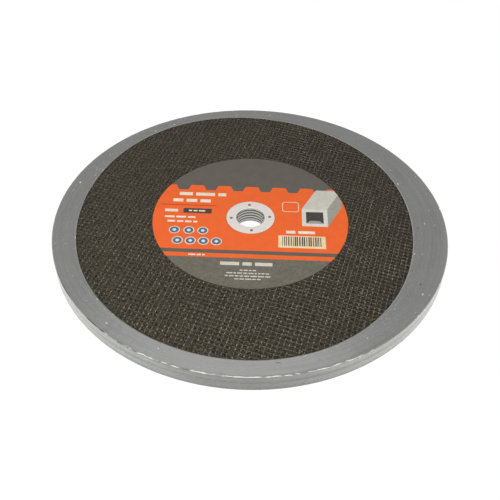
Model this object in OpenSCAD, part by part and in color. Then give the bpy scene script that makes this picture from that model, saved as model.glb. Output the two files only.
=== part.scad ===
// Pack of flat metal cut-off wheels held together by a shrunk film sleeve.
// The wheels lie on each other, face up. Each has a round paper label and a flanged bush ring in its bore.
// Origin: on the bore axis, at the underside of the sleeve. +Z points up along the bore.

/* [Wheels] */
// Number of wheels in the pack
wheel_count = 5; // [1:1:8]
// Outer diameter of a wheel
wheel_d = 355; // [300:1:410]
// Thickness of a wheel
wheel_t = 3; // [2.4:0.1:4.2]
// Rounding of a wheel's two outer edges
wheel_edge_r = 0.6; // [0.2:0.05:1]

/* [Net] */
// Spacing of the net's threads, which stand out as ribs on both faces of a wheel
net_pitch = 4.25; // [3:0.05:6]
// Direction of the threads from the label's reading line, in degrees
net_turn = 74.6; // [0:0.1:180]
// Width of a thread at its crown
crown_w = 1.2; // [0.8:0.05:1.6]
// Width of a thread at its root, in the grit
root_w = 2.2; // [1.8:0.05:2.6]
// Height of a thread's crown over the grit
net_relief = 0.08; // [0.04:0.01:0.15]

/* [Bush rings] */
// Bore that the arbor goes through
bore_d = 25.4; // [20:0.1:40]
// Outer diameter of the ring's flange
flange_d = 44; // [42:0.5:60]
// Thickness of the ring's sheet metal
sheet_t = 0.3; // [0.2:0.05:0.5]
// Height of the ring, from the top of its flange to the end of its collar
collar_h = 1.7; // [1.2:0.1:2.6]
// Inner radius of the bend between flange and collar
bend_r = 0.3; // [0.1:0.05:0.5]
// Number of pierced holes in the flange
pierced_count = 4; // [2:1:8]
// Diameter of a pierced hole
pierced_d = 3; // [1:0.1:3.5]
// Diameter of the circle that the pierced holes lie on
pierced_pcd = 35; // [34:0.5:38]
// Turn of the pierced holes from the label's reading line, in degrees
pierced_turn = 5; // [0:1:45]

/* [Labels] */
// Diameter of the round paper label
label_d = 178; // [120:1:200]
// Thickness of the label
label_t = 0.1; // [0.05:0.01:0.2]

/* [Sleeve] */
// Thickness of the film
film_t = 0.2; // [0.1:0.05:0.4]
// Width of film folded over each face at the left, from the wheels' rim to the oval opening
lip_left = 21; // [10:0.5:40]
// Width of film folded over each face at the right
lip_right = 30; // [10:0.5:40]
// Width of film folded over each face at the front
lip_front = 14.5; // [10:0.5:40]
// Width of film folded over each face at the back
lip_back = 15; // [10:0.5:40]
// Turn of the oval opening and its four lips from the label's reading line, in degrees
opening_turn = 8; // [-45:1:45]
// Depth that the film sinks in between two wheels
dip_depth = 0.2; // [0.05:0.01:0.24]

/* [Fits] */
// Gap between a ring's collar and the hole in its wheel
collar_gap = 0.05; // [0.02:0.01:0.1]
// Gap between a ring's flange and the wall of its recess
flange_gap = 0.2; // [0.1:0.05:0.4]
// Gap between the label's hole and the ring's bend
label_gap = 0.2; // [0.1:0.05:0.4]
// Gap between the film and the wheels' rims
film_gap = 0.05; // [0.02:0.01:0.1]

/* [Hidden] */
wheel_r = wheel_d / 2;
bore_r = bore_d / 2;
flange_r = flange_d / 2;
label_r = label_d / 2;
collar_r = bore_r + sheet_t;
hole_r = collar_r + collar_gap;
label_hole_r = collar_r + bend_r + label_gap;
// The recess takes the flange and the label that is pressed down under it
recess_r = flange_r + flange_gap + label_t;
recess_z = wheel_t - sheet_t;
pitch_z = wheel_t + label_t;
stack_h = wheel_count * pitch_z - label_t;
rim_in_r = wheel_r + film_gap;
rim_out_r = rim_in_r + film_t;
dip_half_w = wheel_edge_r + label_t;
opening_x = wheel_d - lip_left - lip_right;
opening_y = wheel_d - lip_front - lip_back;
opening_centre = [(lip_left - lip_right) / 2, (lip_front - lip_back) / 2];

wheel_colour = [0.2, 0.18, 0.15];
label_colour = [0.93, 0.41, 0.2];
ring_colour = [0.86, 0.86, 0.84];
film_colour = [0.55, 0.56, 0.56];

// Segments of a round turned in a section, of a dip, and of the oval
round_steps = 6;
dip_steps = 10;
oval_steps = 120;
// Overrun of a cut past the faces that it goes through
cut_over = 1;
$fn = 180;

wheel_numbers = [1 : wheel_count];

// Points of an arc about centre, from angle a0 to a1
function arc(centre, r, a0, a1) = [
    for (k = [0 : round_steps])
        let (a = a0 + (a1 - a0) * k / round_steps)
            centre + r * [cos(a), sin(a)]
];

// Height of the underside of wheel i, counted from 1 at the bottom
function wheel_z(i) = film_t + (i - 1) * pitch_z;

// Height of the joint between wheel i and the next one, at the middle of the label's thickness
function joint_z(i) = wheel_z(i) + wheel_t + label_t / 2;

// Section of a wheel: flat faces, rounded rim, and a recess for the flange round a chamfered hole
module wheel_section() {
    rim_x = wheel_r - wheel_edge_r;
    polygon(concat(
        [[hole_r, 0]],
        arc([rim_x, wheel_edge_r], wheel_edge_r, -90, 0),
        arc([rim_x, wheel_t - wheel_edge_r], wheel_edge_r, 0, 90),
        [
            [recess_r, wheel_t],
            [recess_r, recess_z],
            [hole_r + bend_r, recess_z],
            [hole_r, recess_z - bend_r]
        ]
    ));
}

// Section of a label: flat on the wheel, pressed down into the recess under the flange
module label_section() {
    polygon([
        [label_hole_r, recess_z],
        [recess_r, recess_z],
        [recess_r, wheel_t],
        [label_r, wheel_t],
        [label_r, pitch_z],
        [recess_r - label_t, pitch_z],
        [recess_r - label_t, recess_z + label_t],
        [label_hole_r, recess_z + label_t]
    ]);
}

// Section of a bush ring: one sheet, bent from the flange down into the collar
module ring_section() {
    bend_out_r = bend_r + sheet_t;
    bend_centre = [bore_r + bend_out_r, pitch_z - bend_out_r];
    polygon(concat(
        [
            [bore_r, pitch_z - collar_h],
            [collar_r, pitch_z - collar_h]
        ],
        arc(bend_centre, bend_r, 180, 90),
        [
            [flange_r, pitch_z - sheet_t],
            [flange_r, pitch_z]
        ],
        arc(bend_centre, bend_out_r, 90, 180)
    ));
}

// Outline of the film's outer or inner face, closed along the axis: rounded at both edges,
// with a dip at each joint
module film_outline(r, z0, z1, edge_r) {
    dips = [
        for (i = [1 : 1 : wheel_count - 1])
            for (k = [-dip_steps : dip_steps])
                let (
                    share = k / dip_steps,
                    depth = dip_depth * (1 + cos(180 * share)) / 2
                )
                    [r - depth, joint_z(i) + dip_half_w * share]
    ];
    polygon(concat(
        [[0, z0]],
        arc([r - edge_r, z0 + edge_r], edge_r, -90, 0),
        dips,
        arc([r - edge_r, z1 - edge_r], edge_r, 0, 90),
        [[0, z1]]
    ));
}

module oval(width, length) {
    polygon([
        for (k = [0 : oval_steps - 1])
            let (a = 360 * k / oval_steps)
                [width / 2 * cos(a), length / 2 * sin(a)]
    ]);
}

// Slab as thick as a wheel, with the net's threads standing out on both faces and running along X
module net_slab() {
    side_count = ceil(wheel_r / net_pitch);
    thread = [
        [-root_w / 2, -net_relief],
        [-crown_w / 2, 0],
        [crown_w / 2, 0],
        [root_w / 2, -net_relief]
    ];
    top = [
        for (k = [-side_count : side_count])
            for (p = thread)
                [k * net_pitch, wheel_t] + p
    ];
    bottom = [for (k = [len(top) - 1 : -1 : 0]) [top[k].x, wheel_t - top[k].y]];
    rotate([90, 0, 90])
        linear_extrude(wheel_d + 2 * cut_over, center = true)
            polygon(concat(top, bottom));
}

module wheel(i) {
    color(wheel_colour)
        translate([0, 0, wheel_z(i)])
            intersection() {
                rotate_extrude()
                    wheel_section();
                rotate(net_turn)
                    net_slab();
            }
}

module label(i) {
    color(label_colour)
        translate([0, 0, wheel_z(i)])
            rotate_extrude()
                label_section();
}

module bush_ring(i) {
    color(ring_colour)
        translate([0, 0, wheel_z(i)])
            difference() {
                rotate_extrude()
                    ring_section();
                for (k = [0 : pierced_count - 1])
                    rotate(pierced_turn + 360 * k / pierced_count)
                        translate([pierced_pcd / 2, 0, pitch_z - sheet_t - cut_over])
                            cylinder(h = sheet_t + 2 * cut_over, d = pierced_d);
            }
}

module shrink_sleeve() {
    outer_h = stack_h + 2 * film_t;
    color(film_colour)
        difference() {
            rotate_extrude()
                difference() {
                    film_outline(rim_out_r, 0, outer_h, wheel_edge_r + film_t);
                    film_outline(rim_in_r, film_t, film_t + stack_h, wheel_edge_r);
                }
            rotate(opening_turn)
                translate([opening_centre.x, opening_centre.y, -cut_over])
                    linear_extrude(outer_h + 2 * cut_over)
                        oval(opening_x, opening_y);
        }
}

for (i = wheel_numbers) {
    wheel(i);
    label(i);
    bush_ring(i);
}
shrink_sleeve();
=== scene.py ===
"""Looks of a shrink-wrapped pack of metal cut-off wheels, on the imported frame. Lengths are in metres."""
import math

import bmesh
import bpy
import numpy as np
from mathutils import Euler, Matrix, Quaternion, Vector
from mathutils.geometry import delaunay_2d_cdt


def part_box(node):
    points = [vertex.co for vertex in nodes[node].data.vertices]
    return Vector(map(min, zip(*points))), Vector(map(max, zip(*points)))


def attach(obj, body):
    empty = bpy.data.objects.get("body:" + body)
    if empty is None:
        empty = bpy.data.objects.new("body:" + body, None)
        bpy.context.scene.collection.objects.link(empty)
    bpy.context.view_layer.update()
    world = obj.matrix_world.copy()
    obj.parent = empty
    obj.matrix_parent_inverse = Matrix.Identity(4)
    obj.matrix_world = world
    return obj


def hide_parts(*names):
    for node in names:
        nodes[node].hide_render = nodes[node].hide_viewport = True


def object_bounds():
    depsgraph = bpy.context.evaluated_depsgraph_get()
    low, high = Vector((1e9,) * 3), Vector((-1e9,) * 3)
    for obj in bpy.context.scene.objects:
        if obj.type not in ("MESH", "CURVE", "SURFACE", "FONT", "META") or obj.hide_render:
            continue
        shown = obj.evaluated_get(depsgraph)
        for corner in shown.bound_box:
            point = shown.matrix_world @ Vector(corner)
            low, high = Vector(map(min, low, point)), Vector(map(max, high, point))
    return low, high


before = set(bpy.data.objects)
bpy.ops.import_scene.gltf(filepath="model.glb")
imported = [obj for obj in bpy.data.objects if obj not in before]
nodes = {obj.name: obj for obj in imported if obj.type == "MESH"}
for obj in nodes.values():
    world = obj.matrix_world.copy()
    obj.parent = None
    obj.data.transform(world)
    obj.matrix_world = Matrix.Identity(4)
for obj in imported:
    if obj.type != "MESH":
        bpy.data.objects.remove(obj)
cad_low, cad_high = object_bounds()
MM = 0.001

# Places and sizes that the frame gives
wheel_count = sum(name.startswith("wheel_") for name in nodes)
top_wheel = f"wheel_{wheel_count}"
top_label = f"label_{wheel_count}"
top_ring = f"bush_ring_{wheel_count}"
face_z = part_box(top_wheel)[1].z
rim_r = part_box(top_wheel)[1].x
label_low, label_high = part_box(top_label)
label_r = label_high.x
label_t = label_high.z - face_z
flange_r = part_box(top_ring)[1].x
film_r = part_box("shrink_sleeve")[1].x
film_top_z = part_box("shrink_sleeve")[1].z
film_t = film_top_z - face_z
pitch_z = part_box("wheel_2")[0].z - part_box("wheel_1")[0].z

# Sizes repeated from the part's source
WHEEL_T = 3.0 * MM
EDGE_R = 0.6 * MM
LIP_LEFT = 21 * MM
LIP_RIGHT = 30 * MM
LIP_FRONT = 14.5 * MM
LIP_BACK = 15 * MM
OPENING_TURN = math.radians(8)
FLANGE_GAP = 0.2 * MM
BORE_R = 12.7 * MM
BEND_OUT_R = 0.6 * MM
LABEL_HOLE_R = 13.5 * MM
WARP_PITCH = 4.25 * MM
WARP_TURN = math.radians(74.6)

# Radius at which the label steps down under the flange
step_r = flange_r + FLANGE_GAP

# Net threads
WEFT_PITCH = 4.11 * MM
WEFT_TURN = math.radians(-18.7)
WARP_SPREAD = 0.2 * MM
YARN_W = 0.42 * MM
YARN_H = 0.12 * MM
YARN_SWAY = 0.05 * MM
YARN_WANDER = 0.1 * MM
WANDER_LENGTHS = (95 * MM, 41 * MM, 17 * MM)
YARN_STEPS = 4
SHORTEST_RUN = 3
# Cross-section of a thread: points across it and up
YARN_SECTION = [(-YARN_W / 2, -YARN_H / 2), (0, YARN_H / 2), (YARN_W / 2, -YARN_H / 2)]

# Film. Its mouth isn't quite the source's oval: it lies further back and has four blunt corners
FILM_TURNS = 600
MOUTH_SHIFT = 1.1 * MM
MOUTH_SHIFT_TURN = math.radians(109)
MOUTH_CORNER = 1.0 * MM
MOUTH_CORNER_TURN = math.radians(35)
LIP_STEPS = 8
EDGE_STEPS = 7
WALL_STEPS = 51
LOW_EDGE_STEPS = 4
LOW_LIP_STEPS = 3
SKIN_T = 0.06 * MM
SKIN_CLEAR = 0.02 * MM
DIP_DEPTH = 0.24 * MM
WRINKLE = 0.04 * MM
WHEEL_SHIFT = 0.04 * MM
DEEP_JOINT_Z = film_t + 3 * pitch_z - label_t / 2

# Camera of the photograph, in its 500 pixel frame
PHOTO_SIZE = 500
FOCAL_PX = 701.0
VIEW_TURN = math.radians(1.04)
VIEW_PAN = math.radians(0.027)
VIEW_DOWN = math.radians(44.002)
VIEW_ROLL = math.radians(1.325)
CAMERA_OUT = 481.5 * MM
CAMERA_UP = 423.5 * MM

# Floor
FLOOR_HALF = 4.0
FLOOR_GAP = 0.02 * MM


def mesh_object(name, verts, faces, material, smooth=True):
    """Makes a mesh object from arrays of points and faces."""
    mesh = bpy.data.meshes.new(name)
    mesh.from_pydata([tuple(v) for v in verts], [], [tuple(f) for f in faces])
    mesh.materials.append(material)
    mesh.polygons.foreach_set("use_smooth", np.full(len(mesh.polygons), smooth))
    mesh.update()
    piece = bpy.data.objects.new(name, mesh)
    bpy.context.scene.collection.objects.link(piece)
    return piece


class Shader:
    """A material and short calls that add nodes to it."""

    def __init__(self, name):
        self.material = bpy.data.materials.new(name)
        self.material.use_nodes = True
        self.tree = self.material.node_tree
        self.bsdf = self.tree.nodes["Principled BSDF"]
        self.place = self.add("ShaderNodeTexCoord").outputs["Object"]

    def add(self, kind, **inputs):
        """Adds a node and fills its inputs, whose names are written with underscores for spaces."""
        node = self.tree.nodes.new(kind)
        for name, value in inputs.items():
            self.put(node.inputs[name.replace("_", " ")], value)
        return node

    def put(self, socket, value):
        """Links a socket to another one, or gives it a constant."""
        if isinstance(value, bpy.types.NodeSocket):
            self.tree.links.new(value, socket)
        else:
            socket.default_value = value

    def set(self, **inputs):
        """Fills inputs of the surface shader."""
        for name, value in inputs.items():
            self.put(self.bsdf.inputs[name.replace("_", " ")], value)

    def math(self, operation, a, b=0.0):
        """Works out an operation on one or two values."""
        node = self.tree.nodes.new("ShaderNodeMath")
        node.operation = operation
        self.put(node.inputs[0], a)
        self.put(node.inputs[1], b)
        return node.outputs[0]

    def noise(self, size, detail=3.0, vector=None):
        """Noise whose lumps are about size metres across."""
        node = self.add("ShaderNodeTexNoise", Vector=vector or self.place, Scale=1 / size, Detail=detail)
        return node.outputs["Fac"]

    def cells(self, size):
        """A random number for each cell of about size metres."""
        node = self.add("ShaderNodeTexVoronoi", Vector=self.place, Scale=1 / size)
        return node.outputs["Color"]

    def flecks(self, size, vector, reach, share):
        """Single spots about size metres apart: reach is a spot's half width, share how many there are."""
        node = self.add("ShaderNodeTexVoronoi", Vector=vector, Scale=1 / size)
        node.voronoi_dimensions = "2D"
        pick = self.add("ShaderNodeSeparateColor", Color=node.outputs["Color"])
        wide = self.ramp(pick.outputs[1], 0, 1, 0.3 * reach / size, reach / size)
        inside = self.math("SUBTRACT", wide, node.outputs["Distance"])
        spot = self.ramp(inside, 0, 0.3 * reach / size)
        return self.math("MULTIPLY", spot, self.ramp(pick.outputs[0], 1 - share, 1.2 - share))

    def ramp(self, value, low, high, start=0.0, end=1.0):
        """Maps value from low..high to start..end, clamped and smooth."""
        node = self.tree.nodes.new("ShaderNodeMapRange")
        node.interpolation_type = "SMOOTHSTEP"
        self.put(node.inputs["Value"], value)
        self.put(node.inputs["From Min"], low)
        self.put(node.inputs["From Max"], high)
        self.put(node.inputs["To Min"], start)
        self.put(node.inputs["To Max"], end)
        return node.outputs["Result"]

    def mix(self, share, first, second):
        """Mixes two colours: all the first at share 0, all the second at share 1.

        Inputs 6 and 7 and output 2 are the node's colour sockets.
        """
        node = self.tree.nodes.new("ShaderNodeMix")
        node.data_type = "RGBA"
        self.put(node.inputs["Factor"], share)
        self.put(node.inputs[6], first)
        self.put(node.inputs[7], second)
        return node.outputs[2]

    def bump(self, height, distance, normal=None):
        """Direction of a surface raised by height times distance, on top of normal where one is given."""
        node = self.add("ShaderNodeBump", Height=height, Distance=distance, Strength=1.0)
        if normal:
            self.put(node.inputs["Normal"], normal)
        return node.outputs["Normal"]

    def bands(self, turn, pitch):
        """Waves 0..1 across the direction turn, one for each pitch."""
        x, y = self.xyz()[:2]
        from_x = self.math("MULTIPLY", x, -math.sin(turn))
        from_y = self.math("MULTIPLY", y, math.cos(turn))
        across = self.math("ADD", from_x, from_y)
        wave = self.math("COSINE", self.math("MULTIPLY", across, 2 * math.pi / pitch))
        return self.math("MULTIPLY", self.math("ADD", wave, 1.0), 0.5)

    def drawn_out(self, turn, stretch):
        """Coordinates whose first axis runs in the direction turn and is drawn out by stretch."""
        scale = (stretch, 1, 1)
        node = self.add("ShaderNodeMapping", Vector=self.place, Rotation=(0, 0, turn), Scale=scale)
        node.vector_type = "TEXTURE"
        return node.outputs["Vector"]

    def xyz(self):
        """The three coordinates of the place."""
        split = self.add("ShaderNodeSeparateXYZ", Vector=self.place)
        return split.outputs[0], split.outputs[1], split.outputs[2]

    def round_the_axis(self, stretch):
        """Coordinates along the rim, across it and up, the first drawn out by stretch, and the radius."""
        x, y, z = self.xyz()
        along = self.math("MULTIPLY", self.math("ARCTAN2", y, x), rim_r / stretch)
        squares = self.math("ADD", self.math("MULTIPLY", x, x), self.math("MULTIPLY", y, y))
        radius = self.math("SQRT", squares)
        join = self.add("ShaderNodeCombineXYZ", X=along, Y=radius, Z=z)
        return join.outputs[0], radius


def rgb(r, g, b):
    """Linear colour of an sRGB triple from 0 to 255."""
    def linear(v):
        v /= 255
        return v / 12.92 if v <= 0.04045 else ((v + 0.055) / 1.055) ** 2.4
    return (linear(r), linear(g), linear(b), 1.0)


def grit_material():
    """Dark resin-bonded grit with the glass net pressed into it: brown-black, with a few paler grains that
    also stand in for glints as painted highlights, and painted shade darkening it toward +x.
    """
    s = Shader("grit")
    mottle = s.ramp(s.noise(14 * MM), 0.35, 0.65)
    grain = s.ramp(s.noise(1.0 * MM), 0.4, 0.6)
    tone = s.mix(mottle, rgb(37, 30, 27), rgb(34, 32, 25))
    tone = s.mix(grain, tone, rgb(76, 71, 60))
    # Painted shade: the grit is darker toward +x, the side that gets less light
    side = s.ramp(s.xyz()[0], -120 * MM, 120 * MM, 0, 0.26)
    tone = s.mix(side, tone, rgb(22, 18, 15))
    thread = s.math("MAXIMUM", s.bands(WARP_TURN, WARP_PITCH), s.bands(WEFT_TURN, WEFT_PITCH))
    tone = s.mix(s.ramp(thread, 0.8, 1.0, 0, 0.15), tone, rgb(76, 71, 60))
    # Pale grains and painted glints: a few cells turned pale, like sparkle on the grit
    pale_grain_and_glint = s.ramp(s.cells(0.9 * MM), 0.9, 0.95, 0, 0.7)
    s.set(Base_Color=s.mix(pale_grain_and_glint, tone, rgb(165, 158, 141)))
    s.set(Roughness=s.ramp(grain, 0, 1, 0.9, 0.7), Specular_IOR_Level=0.12)
    s.set(Normal=s.bump(grain, 0.12 * MM))
    return s.material


def yarn_material(name, turn, bared, axis, shaded_at, clear, shaded_share):
    """Resin-coated glass yarn: dark, with pale glass bared in strokes along its crowns.

    Along the axis, 0 for x and 1 for y, all the bared glass shows at the place clear, and only the share
    shaded_share of it at the place shaded_at: painted light and shade that dims the yarn toward one end.
    """
    s = Shader(name)
    crown = s.add("ShaderNodeAttribute")
    crown.attribute_name = "crown"
    high = s.ramp(crown.outputs["Fac"], 0.0, 0.8, 0.5, 1.0)
    streak = s.noise(1.1 * MM, vector=s.drawn_out(turn, 2.0))
    stroke = s.ramp(streak, 0.44, 0.64, 0.15 * bared, bared)
    spread = s.ramp(s.noise(11 * MM, detail=2), 0.35, 0.65, 0.6, 1.0)
    # Painted light and shade: less of the bared glass shows toward one end of the net
    painted_light_share = s.ramp(s.xyz()[axis], shaded_at, clear, shaded_share, 1.0)
    stroke = s.math("MULTIPLY", high, stroke)
    bare = s.math("MULTIPLY", stroke, s.math("MULTIPLY", spread, painted_light_share))
    fibre = s.ramp(s.noise(0.9 * MM), 0.4, 0.6)
    coated = s.mix(fibre, rgb(35, 31, 26), rgb(61, 56, 47))
    s.set(Base_Color=s.mix(bare, coated, rgb(192, 185, 165)))
    s.set(Roughness=s.ramp(fibre, 0, 1, 0.65, 0.5), Specular_IOR_Level=0.2)
    s.set(Normal=s.bump(fibre, 0.05 * MM))
    return s.material


def paper_material(name, colour, shade, weave=0.12):
    """Printed paper, cured onto the net, which shows through as faint ridges."""
    s = Shader(name)
    blotch = s.ramp(s.noise(9 * MM, detail=4), 0.3, 0.75, 0, 0.5)
    fibre = s.noise(0.5 * MM, detail=5)
    ink = s.mix(blotch, colour, shade)
    net = s.math("MULTIPLY", s.bands(WARP_TURN, WARP_PITCH / 2), s.bands(WEFT_TURN, WEFT_PITCH / 2))
    patch = s.ramp(s.noise(3 * MM, detail=2), 0.35, 0.65)
    between = s.math("MULTIPLY", patch, s.ramp(net, 0.1, 0.5, weave, 0))
    ink = s.mix(between, ink, rgb(60, 58, 52))
    s.set(Base_Color=s.mix(s.ramp(fibre, 0.55, 0.8, 0, 0.25), ink, shade))
    s.set(Roughness=s.ramp(fibre, 0.3, 0.7, 0.5, 0.62), Specular_IOR_Level=0.12)
    pressed = s.bump(net, 0.05 * MM)
    s.set(Normal=s.bump(fibre, 0.03 * MM, normal=pressed))
    return s.material


def zinc_material():
    """Bright zinc-plated sheet, painted darker down the bore as shade, with the faint tints of its
    passivation.
    """
    s = Shader("zinc_sheet")
    vector, radius = s.round_the_axis(stretch=12)
    rub = s.noise(0.5 * MM, detail=4, vector=vector)
    cloud = s.ramp(s.noise(5 * MM), 0.35, 0.65)
    tint = s.ramp(s.noise(3 * MM, detail=1), 0.4, 0.6)
    tone = s.mix(tint, rgb(213, 205, 204), rgb(208, 209, 202))
    tone = s.mix(cloud, tone, rgb(216, 209, 201))
    # Painted shade: the sheet turned down into the bore gets a darker grey than the flange
    flat = s.ramp(radius, BORE_R + 0.1 * MM, BORE_R + BEND_OUT_R)
    s.set(Metallic=1.0)
    s.set(Base_Color=s.mix(flat, rgb(186, 185, 179), tone))
    s.set(Roughness=s.ramp(rub, 0.3, 0.7, 0.14, 0.22))
    s.set(Normal=s.bump(rub, 0.004 * MM))
    return s.material


def film_tone(s, smear):
    """Grey of the film: clouded and smeared along the rim, with painted light in bands along the rim, and
    painted shade in one groove and at its foot.
    """
    z = s.xyz()[2]
    cloud = s.ramp(s.noise(26 * MM, detail=4), 0.3, 0.7)
    painted_light_bands = s.noise(2.6 * MM, detail=1, vector=s.round_the_axis(stretch=40)[0])
    tone = s.mix(cloud, rgb(101, 102, 99), rgb(108, 109, 105))
    # Painted light: lighter bands along the rim, standing in for light on the film tilted between the wheels
    tone = s.mix(s.ramp(painted_light_bands, 0.3, 0.7, 0.0, 0.5), tone, rgb(120, 121, 117))
    tone = s.mix(s.ramp(smear, 0.3, 0.7, 0.0, 0.08), tone, rgb(118, 119, 115))
    # Painted shade: darker round the dip at one joint and toward the foot of the wall
    from_joint = s.math("ABSOLUTE", s.math("SUBTRACT", z, DEEP_JOINT_Z))
    groove = s.ramp(from_joint, 0.3 * MM, 2.4 * MM, 0.45, 0.0)
    foot = s.ramp(z, 1 * MM, 6.5 * MM, 0.35, 0.0)
    return s.mix(s.math("MAXIMUM", groove, foot), tone, rgb(80, 81, 80))


def film_scars(s, near_top):
    """Dark marks on the film: nicks on its upper lip, and a broken crease along its front left edge."""
    x, y, z = s.xyz()
    vector, radius = s.round_the_axis(stretch=4)
    nick = s.flecks(12 * MM, s.round_the_axis(stretch=3.4)[0], 0.8 * MM, 0.35)
    from_edge = s.math("ABSOLUTE", s.math("SUBTRACT", radius, rim_r - 0.3 * MM))
    upper = s.ramp(z, film_top_z - 1 * MM, film_top_z - 0.5 * MM)
    on_edge = s.math("MULTIPLY", s.ramp(from_edge, 0.2 * MM, 0.5 * MM, 1, 0), upper)
    broken = s.ramp(s.noise(4 * MM, detail=2, vector=vector), 0.42, 0.52)
    left = s.ramp(x, -60 * MM, -5 * MM, 1, 0)
    front = s.ramp(y, -95 * MM, -60 * MM, 1, 0)
    where = s.math("MULTIPLY", broken, s.math("MULTIPLY", left, front))
    crease = s.math("MULTIPLY", on_edge, where)
    return s.math("MAXIMUM", s.math("MULTIPLY", nick, near_top), crease)


def film_marks_and_highlight(s, smear, near_top):
    """Pale marks on the film: flecks on its upper lip, partly painted glints, a few pale scuffs, and a
    painted highlight along the edge at the front.
    """
    y = s.xyz()[1]
    vector, radius = s.round_the_axis(stretch=2.6)
    # Painted highlight: a pale line along the upper edge at the front, mixed in with a few pale scuffs
    front = s.ramp(s.math("MULTIPLY", y, -1.0), 115 * MM, 168 * MM)
    near_rim = s.ramp(radius, rim_r - 2.2 * MM, rim_r + 0.1 * MM)
    painted_edge_highlight = s.math("MULTIPLY", s.math("MULTIPLY", front, near_rim), near_top)
    scuffs_and_painted_highlight = s.ramp(s.math("ADD", smear, s.math("MULTIPLY", painted_edge_highlight, 0.5)), 0.78, 1.0)
    # Pale raised flecks on the upper lip, whose paleness partly stands in for glints as painted highlights
    dash = s.flecks(9 * MM, vector, 0.6 * MM, 0.3)
    speck = s.flecks(8 * MM, s.place, 0.55 * MM, 0.25)
    fleck_and_glint = s.math("MULTIPLY", near_top, s.math("MAXIMUM", dash, speck))
    return s.math("MAXIMUM", scuffs_and_painted_highlight, fleck_and_glint)


def film_material():
    """Grey shrink film: glossy, with dark scars, pale raised marks on its upper lip and edge, and a painted
    highlight along its front edge.
    """
    s = Shader("shrink_film")
    smear = s.noise(1.4 * MM, detail=4, vector=s.round_the_axis(stretch=4)[0])
    near_top = s.ramp(s.xyz()[2], film_top_z - 0.4 * MM, film_top_z - 0.15 * MM)
    tone = s.mix(film_scars(s, near_top), film_tone(s, smear), rgb(48, 49, 48))
    pale_marks_and_highlight = film_marks_and_highlight(s, smear, near_top)
    s.set(Base_Color=s.mix(pale_marks_and_highlight, tone, rgb(214, 215, 210)))
    s.set(Roughness=s.ramp(smear, 0.3, 0.7, 0.24, 0.28), Specular_IOR_Level=0.75)
    raised = s.bump(pale_marks_and_highlight, 0.06 * MM)
    s.set(Normal=s.bump(smear, 0.008 * MM, normal=raised))
    return s.material


def wander(marks, rng):
    """How far a thread strays sideways at marks along it."""
    waves = []
    for length in WANDER_LENGTHS:
        waves.append(np.sin(2 * math.pi * marks / length + rng.uniform(0, 2 * math.pi)))
    return YARN_WANDER * sum(waves)


def thread_faces(base, count):
    """Faces of a thread of count cross-sections whose points start at base, closed at both ends."""
    sides = len(YARN_SECTION)
    faces = []
    for i in range(count - 1):
        a = base + i * sides
        for j in range(sides):
            n = (j + 1) % sides
            faces.append((a + j, a + sides + j, a + sides + n, a + n))
    end = base + (count - 1) * sides
    faces.append((base, base + 1, base + 2))
    faces.append((end + 2, end + 1, end))
    return faces


def make_yarns(name, turn, pitch, cross_pitch, offsets, crest, material, seed):
    """Threads side by side across the net's field, each rising over the threads that it crosses."""
    rng = np.random.default_rng(seed)
    along = np.array([math.cos(turn), math.sin(turn)])
    across = np.array([-along[1], along[0]])
    step = cross_pitch / YARN_STEPS
    reach = int(rim_r / step)
    marks = np.arange(-reach, reach + 1) * step
    rise = np.cos(2 * math.pi * marks / cross_pitch) * crest
    verts, faces, crowns = [], [], []
    count = int(rim_r / pitch)
    for k in range(-count, count + 1):
        stray = wander(marks, rng)
        for offset in offsets:
            line = (k * pitch + offset + stray)[:, None] * across + marks[:, None] * along
            for run in runs(in_net_field(line)):
                if len(run) < SHORTEST_RUN:
                    continue
                faces += thread_faces(len(verts), len(run))
                for i in run:
                    for side, up in YARN_SECTION:
                        x, y = line[i] + side * across
                        verts.append((x, y, face_z + up + rise[i] * YARN_SWAY))
                        crowns.append((1 + rise[i]) / 2)
    piece = mesh_object(name, verts, faces, material)
    layer = piece.data.attributes.new("crown", "FLOAT", "POINT")
    layer.data.foreach_set("value", np.array(crowns, dtype=np.float32))
    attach(piece, "root")


def opening_r(turn):
    """Radius of the film's opening at an angle round the bore axis: an oval, drawn a little out of true."""
    ax = rim_r - (LIP_LEFT + LIP_RIGHT) / 2
    ay = rim_r - (LIP_FRONT + LIP_BACK) / 2
    cx = (LIP_LEFT - LIP_RIGHT) / 2
    cy = (LIP_FRONT - LIP_BACK) / 2
    # A line from the axis meets the oval where a quadratic in the radius is zero
    c = np.cos(turn - OPENING_TURN) / ax
    s = np.sin(turn - OPENING_TURN) / ay
    ox, oy = cx / ax, cy / ay
    a = c * c + s * s
    b = c * ox + s * oy
    oval = (b + np.sqrt(b * b - a * (ox * ox + oy * oy - 1))) / a
    shift = MOUTH_SHIFT * np.cos(turn - MOUTH_SHIFT_TURN)
    corners = MOUTH_CORNER * np.cos(4 * (turn - MOUTH_CORNER_TURN))
    return oval + shift + corners


def in_net_field(points):
    """Tells which points lie on bare net, between the label and the film."""
    radius = np.hypot(points[:, 0], points[:, 1])
    turn = np.arctan2(points[:, 1], points[:, 0])
    return (radius > label_r) & (radius < opening_r(turn))


def runs(mask):
    """Splits the indices where mask holds into unbroken runs."""
    places = np.flatnonzero(mask)
    if len(places) == 0:
        return []
    return np.split(places, np.flatnonzero(np.diff(places) > 1) + 1)


def ripples(turn, along, count, turns, rates, seed):
    """Smooth waves round the rim, a sum of sines that close on themselves, about -1 to 1."""
    rng = np.random.default_rng(seed)
    total = np.zeros(np.broadcast(turn, along).shape)
    for _ in range(count):
        angle = rng.integers(*turns) * turn + rng.uniform(*rates) * along
        total += np.sin(angle + rng.uniform(0, 2 * math.pi))
    return total / math.sqrt(count)


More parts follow.
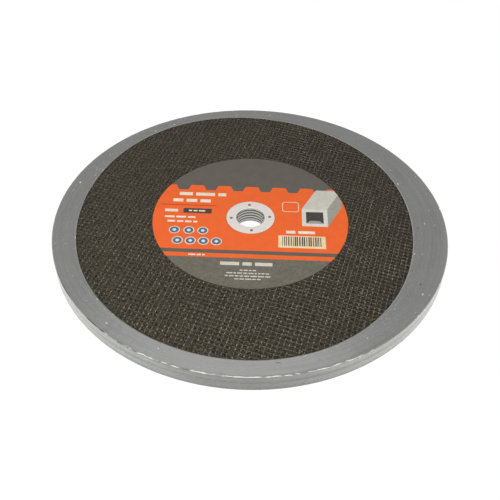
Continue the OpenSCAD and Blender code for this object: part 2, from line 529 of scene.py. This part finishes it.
def film_rows():
    """Rows of the film's outer face at rest, from the upper mouth to the lower one.

    A row has its radius and height and the outward direction there, as its share out and its share up. The
    rows of the upper lip lie closer together near the mouth.
    """
    turn = np.linspace(0, 2 * math.pi, FILM_TURNS, endpoint=False)
    mouth = opening_r(turn)
    corner_r = EDGE_R + film_t
    corner_x = film_r - corner_r
    rows = []
    for share in np.linspace(0, 1, LIP_STEPS + 1)[:-1] ** 1.5:
        rows.append((mouth + (corner_x - mouth) * share, film_top_z, 0.0, 1.0))
    for a in np.radians(np.linspace(90, 0, EDGE_STEPS + 1)):
        c, s = math.cos(a), math.sin(a)
        rows.append((corner_x + corner_r * c, film_top_z - corner_r + corner_r * s, c, s))
    for z in np.linspace(film_top_z - corner_r, corner_r, WALL_STEPS + 1)[1:-1]:
        rows.append((film_r, z, 1.0, 0.0))
    for a in np.radians(np.linspace(0, -90, LOW_EDGE_STEPS + 1)):
        c, s = math.cos(a), math.sin(a)
        rows.append((corner_x + corner_r * c, corner_r + corner_r * s, c, s))
    for share in np.linspace(1, 0, LOW_LIP_STEPS + 1)[1:]:
        rows.append((mouth + (corner_x - mouth) * share, 0.0, 0.0, -1.0))
    return turn, rows


def rim_profile(z):
    """Radius of the wheels' rounded rims at a height, where the film can sink no further."""
    above = (z - film_t) % pitch_z
    from_face = min(above, max(WHEEL_T - above, 0.0), EDGE_R)
    return rim_r - EDGE_R + math.sqrt(EDGE_R ** 2 - (EDGE_R - from_face) ** 2)


def film_push(turn, r, z, out, shift):
    """How far a row of the film moves outward from rest, which is nothing near the foot.

    It is wrinkled everywhere else, and on the wall it also dips at the joints and steps with the wheels.
    """
    level = min(int(max(z - film_t, 0) / pitch_z), wheel_count - 1)
    step = shift[level, 0] * np.cos(turn) + shift[level, 1] * np.sin(turn) - WHEEL_SHIFT
    from_joint = abs((z - film_t - WHEEL_T - label_t / 2 + pitch_z / 2) % pitch_z - pitch_z / 2)
    inside = pitch_z / 2 < z < film_top_z - pitch_z / 2
    reach = min(from_joint / (EDGE_R + label_t), 1)
    dip = DIP_DEPTH * (1 + math.cos(math.pi * reach)) / 2 if inside else 0.0
    uneven = ripples(turn, z / MM, count=6, turns=(3, 40), rates=(-1, 1), seed=11)
    dip = dip * (0.75 + 0.25 * uneven)
    wrinkles = ripples(turn, (r + z) / MM, count=14, turns=(20, 160), rates=(-0.5, 0.5), seed=7)
    wave = WRINKLE * (np.clip(wrinkles, -1, 1) - 1)
    upper = 1.0 if z > pitch_z / 2 else 0.0
    return upper * (wave - (dip - step) * out)


def ring_points(turn, r, z):
    """Points of a ring round the bore axis."""
    return np.stack([r * np.cos(turn), r * np.sin(turn), z + 0 * turn], axis=1)


def make_sleeve(material):
    """The film as a thin closed skin: dips between the wheels, slight steps and shrink wrinkles."""
    turn, rows = film_rows()
    count = len(turn)
    rng = np.random.default_rng(5)
    shift = rng.uniform(-1, 1, (wheel_count, 2)) * WHEEL_SHIFT
    outer, inner = [], []
    for r, z, out, up in rows:
        r = np.broadcast_to(r, turn.shape)
        push = film_push(turn, r, z, out, shift)
        skin_r = r + out * push
        skin_z = z + up * push
        if out == 1.0:
            skin_r = np.maximum(skin_r, rim_profile(z) + SKIN_CLEAR + SKIN_T)
        outer.append(ring_points(turn, skin_r, skin_z))
        inner.append(ring_points(turn, skin_r - out * SKIN_T, skin_z - up * SKIN_T))
    loop = outer + inner[::-1]
    verts = np.concatenate(loop)
    faces = []
    for i in range(len(loop)):
        a = i * count
        b = (i + 1) % len(loop) * count
        for j in range(count):
            n = (j + 1) % count
            faces.append((a + j, b + j, b + n, a + n))
    piece = mesh_object("film_sleeve", verts, faces, material)
    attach(piece, "root")
    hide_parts("shrink_sleeve")


def rect(x0, y0, x1, y1):
    """Corners of a rectangle."""
    return [(x0, y0), (x1, y0), (x1, y1), (x0, y1)]


def disc(x, y, r, count=24):
    """Circle as count corners."""
    turns = [2 * math.pi * k / count for k in range(count)]
    return [(x + r * math.cos(turn), y + r * math.sin(turn)) for turn in turns]


def pill(x0, y0, x1, y1, r, count=5):
    """Rectangle with round corners."""
    corners = [(x1 - r, y0 + r, -90), (x1 - r, y1 - r, 0), (x0 + r, y1 - r, 90), (x0 + r, y0 + r, 180)]
    outline = []
    for x, y, start in corners:
        for k in range(count + 1):
            turn = math.radians(start + 90 * k / count)
            outline.append((x + r * math.cos(turn), y + r * math.sin(turn)))
    return outline


def bar_line(ink, x0, x1, y, height, seed):
    """A line of plain bars of uneven length."""
    rng = np.random.default_rng(seed)
    bars = []
    x = x0
    while x < x1 - height:
        end = min(x + height * rng.uniform(1.4, 4.2), x1)
        bars.append((ink, rect(x, y, end, y + height)))
        x = end + height * 0.7
    return bars


# Label print, in millimetres from the bore axis: x along the reading line, y away from the viewer
STRIPE_TOP = -43.9
STRIPE_LOW = -48.3
FIELD_LOW = -53.4
TEETH_LOW = 37.0
TEETH_TOP = 44.0
TOOTH_PITCH = 26.0
TOOTH_CREST = 12.0
TOOTH_SLOPE = 2.6
PRINT_REACH = 95.0
DISC_PLACES = [
    (-67.5, -20), (-54.5, -20), (-42, -20),
    (-63.5, -33.5), (-52, -33.5), (-40.5, -33.5), (-29, -33.5),
]


def toothed_field():
    """Main colour field: straight below, with a row of blunt teeth along its upper edge."""
    outline = [(-PRINT_REACH, STRIPE_TOP), (PRINT_REACH, STRIPE_TOP), (PRINT_REACH, TEETH_LOW)]
    for k in range(3, -4, -1):
        middle = k * TOOTH_PITCH
        half = TOOTH_CREST / 2
        outline += [
            (middle + half + TOOTH_SLOPE, TEETH_LOW),
            (middle + half, TEETH_TOP),
            (middle - half, TEETH_TOP),
            (middle - half - TOOTH_SLOPE, TEETH_LOW),
        ]
    return outline + [(-PRINT_REACH, TEETH_LOW)]


def square_tube():
    """Picture of a cut length of square tube: upper side, right side, end wall, opening and its floor."""
    x, y = 47.0, -9.5
    size = 23.5
    wall = 3.8
    run_x, run_y = 14.0, 28.0
    end = rect(x, y, x + size, y + size)
    far = [(px + run_x, py + run_y) for px, py in end]
    floor = [
        (x + wall, y + wall),
        (x + size - wall, y + wall),
        (x + size - 2 * wall, y + 2 * wall),
        (x + 2 * wall, y + 2 * wall),
    ]
    return [
        ("steel_light", [end[3], end[2], far[2], far[3]]),
        ("steel_dark", [end[1], far[1], far[2], end[2]]),
        ("steel_pale", end),
        ("dark", rect(x + wall, y + wall, x + size - wall, y + size - wall)),
        ("steel_dark", floor),
    ]


def bar_block():
    """Pale block with upright bars of uneven width, made by rule."""
    x0, y0, x1, y1 = 25.6, -38.5, 67.4, -22.8
    foot, head = y0 + 2.6, y1 - 1.2
    x, last_x = x0 + 3.5, x1 - 4.5
    shapes = [("cream", rect(x0, y0, x1, y1))]
    rng = np.random.default_rng(21)
    while x < last_x:
        width = rng.choice([0.5, 0.8, 1.2])
        shapes.append(("dark", rect(x, foot, x + width, head)))
        x += width + rng.choice([0.5, 0.8, 1.1])
    return shapes


def label_print():
    """Fields of the label from the lowest to the highest: ink and outline."""
    shapes = [("grey", disc(0, 0, label_r / MM, 360))]
    shapes.append(("orange", toothed_field()))
    shapes.append(("orange", rect(-PRINT_REACH, FIELD_LOW, PRINT_REACH, STRIPE_LOW)))
    shapes.append(("grey_low", rect(-PRINT_REACH, -PRINT_REACH, PRINT_REACH, FIELD_LOW)))
    shapes += square_tube()
    shapes += bar_block()
    shapes += bar_line("pale", -68, -24, 28.6, 4.4, 1)
    shapes += bar_line("pale", -73, -38, 19.0, 4.4, 2)
    shapes.append(("rust", rect(-84, 14.0, -32, 14.8)))
    shapes.append(("dark", rect(-62, 3.4, -36, 10.0)))
    shapes += bar_line("pale", -57, -42, 5.8, 1.8, 3)
    shapes += bar_line("pale", -79, -67, 4.6, 3.6, 4)
    shapes += bar_line("pale", -78, -49, -3.6, 2.4, 5)
    shapes += bar_line("pale", -75, -48, -9.6, 2.4, 6)
    for x, y in DISC_PLACES:
        shapes.append(("pale", disc(x, y, 4.9)))
        shapes.append(("blue", disc(x, y, 4.1)))
        shapes.append(("pale", disc(x, y, 1.6, 16)))
    shapes.append(("pale", pill(29.0, 9.5, 44.5, 23.5, 2.6)))
    shapes.append(("orange", pill(29.6, 10.1, 43.9, 22.9, 2.1)))
    shapes += bar_line("pale", 32.5, 62, -19.9, 3.6, 8)
    shapes += bar_line("pale", -52, -38, -51.6, 1.6, 9)
    shapes += bar_line("chalk", -24, 24, -62.2, 4.0, 10)
    for k, half in enumerate([7, 18, 19, 11]):
        shapes += bar_line("chalk", -half, half, -68.5 - 3.4 * k, 1.3, 30 + k)
    shapes.append(("hole", disc(0, 0, step_r / MM, 120)))
    return shapes


def print_faces(names):
    """Flat mesh of the label's upper face, cut up into the fields of its print, with the hole left open."""
    shapes = label_print()
    points, outlines = [], []
    for _, outline in shapes:
        outlines.append(list(range(len(points), len(points) + len(outline))))
        points += [Vector(p) for p in outline]
    verts, _, faces, _, _, sources = delaunay_2d_cdt(points, [], outlines, 1, 1e-4)
    mesh = bmesh.new()
    corners = [mesh.verts.new((v.x * MM, v.y * MM, label_high.z)) for v in verts]
    for face, source in zip(faces, sources):
        if 0 not in source:
            continue
        ink = shapes[max(source)][0]
        if ink == "hole":
            continue
        made = mesh.faces.new([corners[i] for i in face])
        made.material_index = names.index(ink)
    bmesh.ops.delete(mesh, geom=[v for v in mesh.verts if not v.link_faces], context="VERTS")
    bmesh.ops.recalc_face_normals(mesh, faces=mesh.faces)
    if sum(f.normal.z for f in mesh.faces) < 0:
        bmesh.ops.reverse_faces(mesh, faces=mesh.faces)
    return mesh


def make_label(inks):
    """The top label: print on its face, stepped down under the flange as the paper is."""
    names = list(inks)
    mesh = print_faces(names)
    middle_r = (label_r + flange_r) / 2
    rim = [e for e in mesh.edges if e.is_boundary]
    outer = [e for e in rim if e.verts[0].co.xy.length > middle_r]
    inner = [e for e in rim if e.verts[0].co.xy.length < middle_r]
    floor_z = label_low.z + label_t
    under = names.index("grey")
    pull_edges(mesh, outer, [(label_r, face_z)], under)
    steps = [
        (step_r, floor_z),
        (LABEL_HOLE_R, floor_z),
        (LABEL_HOLE_R, label_low.z),
        (step_r + label_t, label_low.z),
        (step_r + label_t, face_z),
    ]
    # The paper stepped under the flange, seen through the pierced holes, takes painted shade: browner and
    # darker than the orange
    pull_edges(mesh, inner, steps, names.index("bare"))
    close_underside(mesh, under)
    data = bpy.data.meshes.new("label_print")
    mesh.to_mesh(data)
    mesh.free()
    for ink in inks.values():
        data.materials.append(ink)
    piece = bpy.data.objects.new("label_print", data)
    bpy.context.scene.collection.objects.link(piece)
    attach(piece, "root")
    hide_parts(top_label)


def pull_edges(mesh, edges, steps, ink):
    """Draws a round boundary out through rings of given radius and height."""
    for radius, z in steps:
        made = bmesh.ops.extrude_edge_only(mesh, edges=edges)["geom"]
        for vert in (g for g in made if isinstance(g, bmesh.types.BMVert)):
            flat = vert.co.xy.normalized() * radius
            vert.co = (flat.x, flat.y, z)
        for face in (g for g in made if isinstance(g, bmesh.types.BMFace)):
            face.material_index = ink
        edges = [g for g in made if isinstance(g, bmesh.types.BMEdge) and g.is_boundary]


def close_underside(mesh, ink):
    """Joins the outer and the inner ring on the wheel's face."""
    rim = [e for e in mesh.edges if e.is_boundary]
    made = bmesh.ops.bridge_loops(mesh, edges=rim)
    for face in made["faces"]:
        face.material_index = ink
    bmesh.ops.recalc_face_normals(mesh, faces=mesh.faces)


def add_lamp(name, place, target, size, level, mirrored=True):
    """Soft lamp whose light, square on at its target, renders a colour as written times level."""
    data = bpy.data.lights.new(name, "AREA")
    data.shape = "RECTANGLE"
    data.size, data.size_y = size
    place, target = Vector(place), Vector(target)
    data.energy = level * math.pi ** 2 * (target - place).length_squared
    lamp = bpy.data.objects.new(name, data)
    lamp.location = place
    lamp.rotation_euler = (target - place).to_track_quat("-Z", "Y").to_euler()
    lamp.visible_camera = False
    lamp.visible_glossy = mirrored
    bpy.context.scene.collection.objects.link(lamp)


def seen_directly(tree):
    """1 for rays from the camera, a mirror or glass, and 0 for the light that falls on the object."""
    path = tree.nodes.new("ShaderNodeLightPath")
    total = path.outputs["Is Camera Ray"]
    for name in ("Is Glossy Ray", "Is Transmission Ray"):
        node = tree.nodes.new("ShaderNodeMath")
        node.operation = "MAXIMUM"
        tree.links.new(total, node.inputs[0])
        tree.links.new(path.outputs[name], node.inputs[1])
        total = node.outputs[0]
    return total


def make_world(ambient):
    """White studio round the object, whose light on the object has the strength ambient."""
    world = bpy.data.worlds.new("studio")
    bpy.context.scene.world = world
    world.use_nodes = True
    tree = world.node_tree
    light = tree.nodes["Background"]
    light.inputs["Strength"].default_value = ambient
    light.inputs["Color"].default_value = (1, 1, 1, 1)
    white = tree.nodes.new("ShaderNodeBackground")
    white.inputs["Color"].default_value = (1, 1, 1, 1)
    mix = tree.nodes.new("ShaderNodeMixShader")
    tree.links.new(seen_directly(tree), mix.inputs[0])
    tree.links.new(light.outputs[0], mix.inputs[1])
    tree.links.new(white.outputs[0], mix.inputs[2])
    tree.links.new(mix.outputs[0], tree.nodes["World Output"].inputs["Surface"])


def make_floor(shadow_share):
    """White floor that keeps a soft shadow of the object."""
    z = cad_low.z - FLOOR_GAP
    corners = [(x, y, z) for x, y in rect(-FLOOR_HALF, -FLOOR_HALF, FLOOR_HALF, FLOOR_HALF)]
    shader = Shader("floor")
    tree = shader.tree
    shader.set(Base_Color=(0.9, 0.9, 0.9, 1), Roughness=0.9, Specular_IOR_Level=0.0)
    white = shader.add("ShaderNodeEmission", Strength=1.03)
    mix = tree.nodes.new("ShaderNodeMixShader")
    share = shader.math("MULTIPLY", seen_directly(tree), 1 - shadow_share)
    tree.links.new(share, mix.inputs[0])
    tree.links.new(shader.bsdf.outputs[0], mix.inputs[1])
    tree.links.new(white.outputs[0], mix.inputs[2])
    tree.links.new(mix.outputs[0], tree.nodes["Material Output"].inputs["Surface"])
    floor = mesh_object("floor", corners, [(0, 1, 2, 3)], shader.material, smooth=False)


def make_camera():
    """Camera fitted to the photograph."""
    data = bpy.data.cameras.new("camera")
    data.lens = FOCAL_PX / PHOTO_SIZE * data.sensor_width
    camera = bpy.data.objects.new("camera", data)
    camera.location = (
        CAMERA_OUT * math.sin(VIEW_TURN),
        -CAMERA_OUT * math.cos(VIEW_TURN),
        label_high.z + CAMERA_UP,
    )
    aim = Euler((math.pi / 2 - VIEW_DOWN, 0, VIEW_TURN - VIEW_PAN)).to_quaternion()
    camera.rotation_euler = (aim @ Quaternion((0, 0, 1), VIEW_ROLL)).to_euler()
    bpy.context.scene.collection.objects.link(camera)
    bpy.context.scene.camera = camera


def dress(prefix, material):
    """Gives every frame node of a kind its finish."""
    for name, node in nodes.items():
        if name.startswith(prefix):
            node.data.materials.clear()
            node.data.materials.append(material)


bpy.context.scene.view_settings.view_transform = "Standard"
make_camera()
make_world(ambient=0.19)
make_floor(shadow_share=0.05)
middle = (0, 0, face_z)
add_lamp("overhead", (-0.04, 0.40, 0.78), (0, -0.05, face_z), size=(0.5, 0.3), level=0.155)
add_lamp("front", (-0.15, -0.64, 0.61), middle, size=(0.5, 0.3), level=0.67, mirrored=False)
add_lamp("left", (-1.32, -0.19, 0.065), middle, size=(0.7, 0.2), level=2.8, mirrored=False)
add_lamp("right", (1.34, -0.19, 0.065), middle, size=(0.7, 0.2), level=2.8, mirrored=False)

grit = grit_material()
warp_yarn = yarn_material(
    "warp_yarn", WARP_TURN, bared=0.62, axis=1, shaded_at=60 * MM, clear=-60 * MM, shaded_share=0.6
)
weft_yarn = yarn_material(
    "weft_yarn", WEFT_TURN, bared=0.66, axis=0, shaded_at=-80 * MM, clear=50 * MM, shaded_share=0.35
)
paper = {
    "grey": paper_material("print_grey", rgb(100, 96, 88), rgb(90, 87, 80)),
    "grey_low": paper_material("print_grey_low", rgb(112, 109, 98), rgb(100, 97, 88), weave=0.35),
    "orange": paper_material("print_orange", rgb(238, 106, 50), rgb(230, 98, 46), weave=0.03),
    "pale": paper_material("print_pale", rgb(240, 232, 214), rgb(228, 206, 176)),
    "cream": paper_material("print_cream", rgb(240, 218, 178), rgb(232, 204, 160)),
    "chalk": paper_material("print_chalk", rgb(212, 206, 194), rgb(200, 194, 182)),
    "dark": paper_material("print_dark", rgb(62, 60, 60), rgb(78, 72, 68)),
    # Painted shade for the paper under the flange, seen through the pierced holes
    "bare": paper_material("print_shaded_under_flange", rgb(184, 126, 100), rgb(170, 114, 90)),
    "rust": paper_material("print_rust", rgb(150, 66, 42), rgb(170, 76, 44)),
    "blue": paper_material("print_blue", rgb(74, 112, 142), rgb(96, 126, 146)),
    "steel_pale": paper_material("print_steel_pale", rgb(222, 219, 206), rgb(210, 206, 194)),
    "steel_light": paper_material("print_steel_light", rgb(206, 203, 192), rgb(194, 190, 180)),
    "steel_dark": paper_material("print_steel_dark", rgb(162, 160, 150), rgb(150, 148, 138)),
}
dress("wheel_", grit)
dress("label_", paper["orange"])
dress("bush_ring_", zinc_material())

make_label(paper)
make_sleeve(film_material())
make_yarns(
    "net_warp", WARP_TURN, WARP_PITCH, WEFT_PITCH,
    offsets=(-WARP_SPREAD, WARP_SPREAD), crest=1.0, material=warp_yarn, seed=1,
)
make_yarns(
    "net_weft", WEFT_TURN, WEFT_PITCH, WARP_PITCH,
    offsets=(0.0,), crest=-0.6, material=weft_yarn, seed=2,
)
